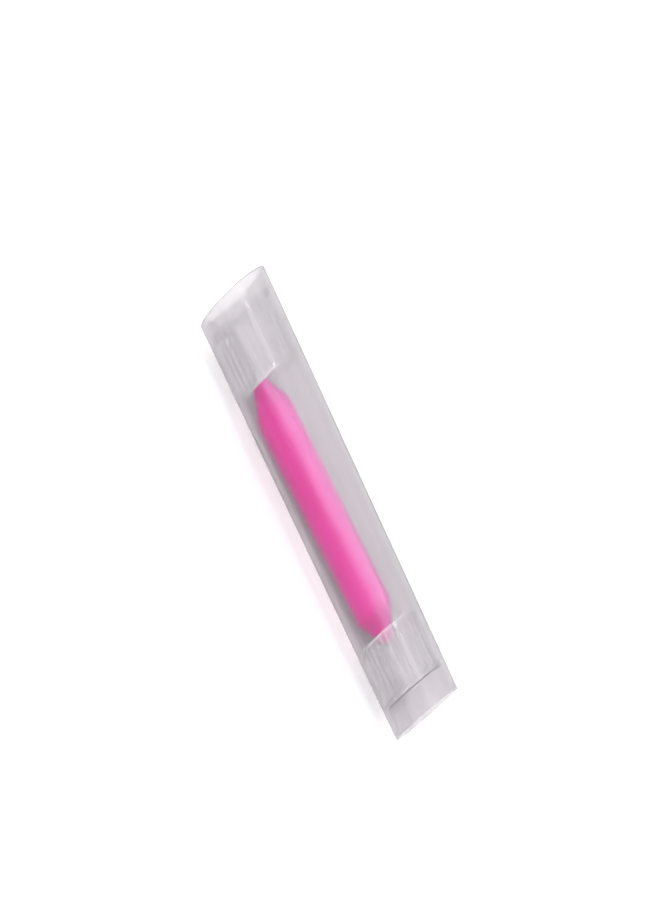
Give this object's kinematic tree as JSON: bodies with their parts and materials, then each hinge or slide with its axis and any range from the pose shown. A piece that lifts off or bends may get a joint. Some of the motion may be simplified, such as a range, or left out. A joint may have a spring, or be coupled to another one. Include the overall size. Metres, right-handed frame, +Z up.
{
  "type": "blending stump in tube",
  "caption": "Short double-ended paper blending stump with blunt cone tips, kept in a frosted cylindrical tube closed by ribbed push-in cup plugs that pull out.",
  "frame": {"origin": "on the surface that the tube lies on, under the middle of its length and its axis", "axes": "+X along the tube from plug A to plug B, +Z up out of the surface, +Y across the tube"},
  "size_m": [0.0974, 0.02, 0.02],
  "materials": {
    "frosted_tube": "frosted translucent polypropylene with a soft gloss",
    "frosted_plug": "milky translucent moulded polyethylene",
    "pink_paper": "pink tightly rolled soft paper, matte and slightly fibrous"
  },
  "bodies": {
    "case": {"tube": "frosted_tube"},
    "plug_a": {"plug_a": "frosted_plug"},
    "plug_b": {"plug_b": "frosted_plug"},
    "stump": {"stump": "pink_paper"}
  },
  "joints": [
    {"name": "plug_a_pull", "type": "slide", "parent": "case", "child": "plug_a", "axis": [-1, 0, 0], "range_m": [0, 0.09]},
    {"name": "plug_b_pull", "type": "slide", "parent": "case", "child": "plug_b", "axis": [1, 0, 0], "range_m": [0, 0.03]},
    {"name": "stump_draw", "type": "slide", "parent": "case", "child": "stump", "axis": [-1, 0, 0], "range_m": [0, 0.082]}
  ],
  "couplings": [
    {"joint": "stump_draw", "follows": "plug_a_pull", "ratio": 0.911}
  ]
}
